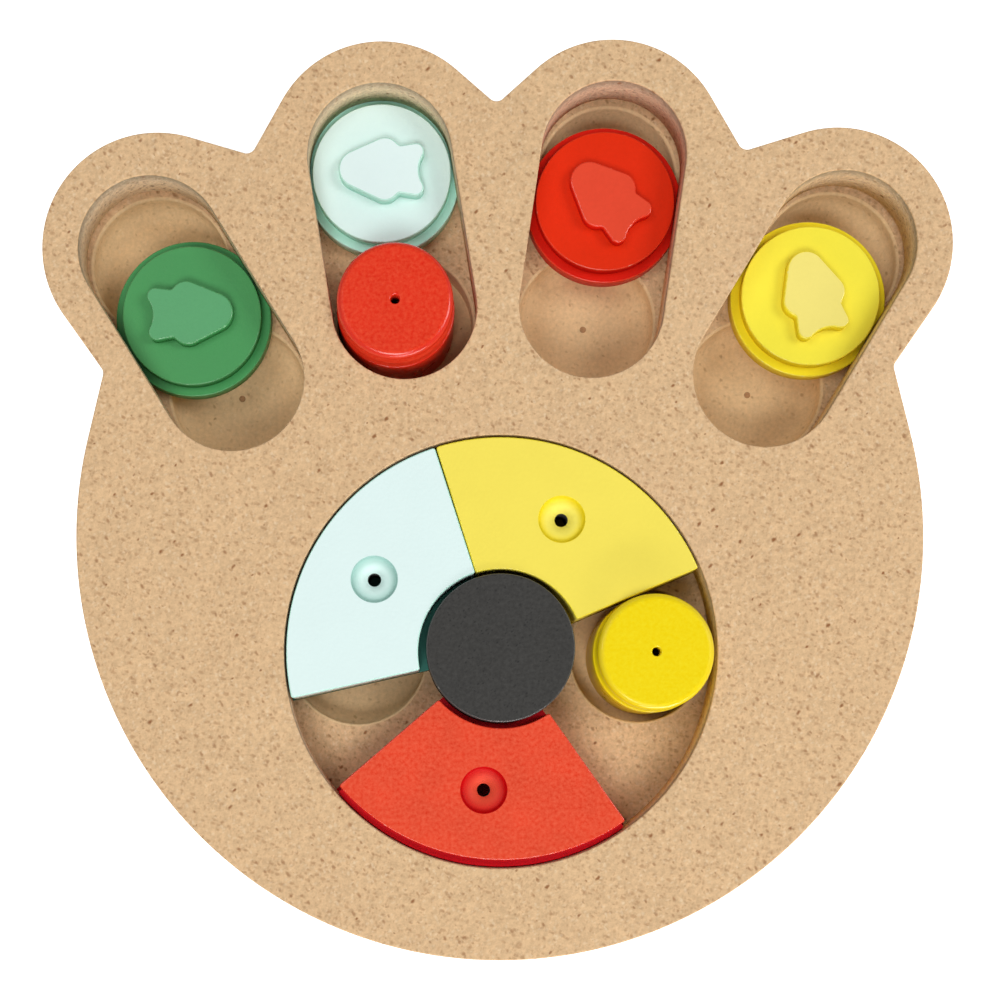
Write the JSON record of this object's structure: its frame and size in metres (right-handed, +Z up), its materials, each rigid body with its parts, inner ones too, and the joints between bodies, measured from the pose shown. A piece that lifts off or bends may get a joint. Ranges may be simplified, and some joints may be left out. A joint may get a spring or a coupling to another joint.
{
  "type": "cat puzzle feeder",
  "caption": "Paw-shaped wooden treat puzzle for cats: fish-knob sliders in slanted slots, ring sectors round a hub and loose hollow plugs cover round treat wells.",
  "frame": {"origin": "under the middle of the board's outline, on its underside", "axes": "+Z up, +Y towards the toes, +X to the right seen from above"},
  "size_m": [0.3, 0.303, 0.0349],
  "materials": {
    "mdf": "bare sanded fibreboard with fine dark flecks",
    "green_paint": "satin paint on fibreboard",
    "mint_paint": "satin paint on fibreboard",
    "red_paint": "satin paint on fibreboard",
    "yellow_paint": "satin paint on fibreboard",
    "charcoal_paint": "matt charcoal paint on fibreboard",
    "screw_steel": "zinc-plated steel"
  },
  "bodies": {
    "board": {"top_board": "mdf", "base_board": "mdf", "hub_cap": "charcoal_paint", "hub_spacer": "charcoal_paint", "hub_screw": "screw_steel"},
    "green_slider": {"green_shoe": "green_paint"},
    "green_knob": {"green_cap": "green_paint", "green_fish": "green_paint"},
    "mint_slider": {"mint_shoe": "mint_paint"},
    "mint_knob": {"mint_cap": "mint_paint", "mint_fish": "mint_paint"},
    "red_slider": {"red_shoe": "red_paint"},
    "red_knob": {"red_cap": "red_paint", "red_fish": "red_paint"},
    "yellow_slider": {"yellow_shoe": "yellow_paint"},
    "yellow_knob": {"yellow_cap": "yellow_paint", "yellow_fish": "yellow_paint"},
    "yellow_sector": {"yellow_sector_runner": "yellow_paint", "yellow_sector_top": "yellow_paint"},
    "mint_sector": {"mint_sector_runner": "mint_paint", "mint_sector_top": "mint_paint"},
    "red_sector": {"red_sector_runner": "red_paint", "red_sector_top": "red_paint"},
    "red_plug": {"red_plug": "red_paint"},
    "yellow_plug": {"yellow_plug": "yellow_paint"}
  },
  "joints": [
    {"name": "green_slide", "type": "slide", "parent": "board", "child": "green_slider", "axis": [0.521, -0.8536, 0], "range_m": [-0.0227, 0.0278]},
    {"name": "green_turn", "type": "hinge", "parent": "green_slider", "child": "green_knob", "pos_m": [-0.10247, 0.06462, 0.0166], "axis": [0, 0, 1], "continuous": true},
    {"name": "mint_slide", "type": "slide", "parent": "board", "child": "mint_slider", "axis": [0.153, -0.9882, 0], "range_m": [-0.002, 0.001]},
    {"name": "mint_turn", "type": "hinge", "parent": "mint_slider", "child": "mint_knob", "pos_m": [-0.03829, 0.11202, 0.0166], "axis": [0, 0, 1], "continuous": true},
    {"name": "red_slide", "type": "slide", "parent": "board", "child": "red_slider", "axis": [-0.153, -0.9882, 0], "range_m": [-0.0121, 0.0384]},
    {"name": "red_turn", "type": "hinge", "parent": "red_slider", "child": "red_knob", "pos_m": [0.03675, 0.10204, 0.0166], "axis": [0, 0, 1], "continuous": true},
    {"name": "yellow_slide", "type": "slide", "parent": "board", "child": "yellow_slider", "axis": [-0.521, -0.8536, 0], "range_m": [-0.0167, 0.0338]},
    {"name": "yellow_turn", "type": "hinge", "parent": "yellow_slider", "child": "yellow_knob", "pos_m": [0.1056, 0.06975, 0.0166], "axis": [0, 0, 1], "continuous": true},
    {"name": "yellow_sector_slide", "type": "hinge", "parent": "board", "child": "yellow_sector", "pos_m": [0, -0.0498, 0.012], "axis": [0, 0, 1], "range_deg": [0, 8]},
    {"name": "mint_sector_slide", "type": "hinge", "parent": "yellow_sector", "child": "mint_sector", "pos_m": [0, -0.0498, 0.012], "axis": [0, 0, 1], "range_deg": [0, 8]},
    {"name": "red_sector_slide", "type": "hinge", "parent": "board", "child": "red_sector", "pos_m": [0, -0.0498, 0.012], "axis": [0, 0, 1], "range_deg": [-7, 28]},
    {"name": "red_plug_lift", "type": "slide", "parent": "board", "child": "red_plug", "axis": [0, 0, 1], "range_m": [0, 0.045]},
    {"name": "yellow_plug_lift", "type": "slide", "parent": "board", "child": "yellow_plug", "axis": [0, 0, 1], "range_m": [0, 0.045]}
  ]
}
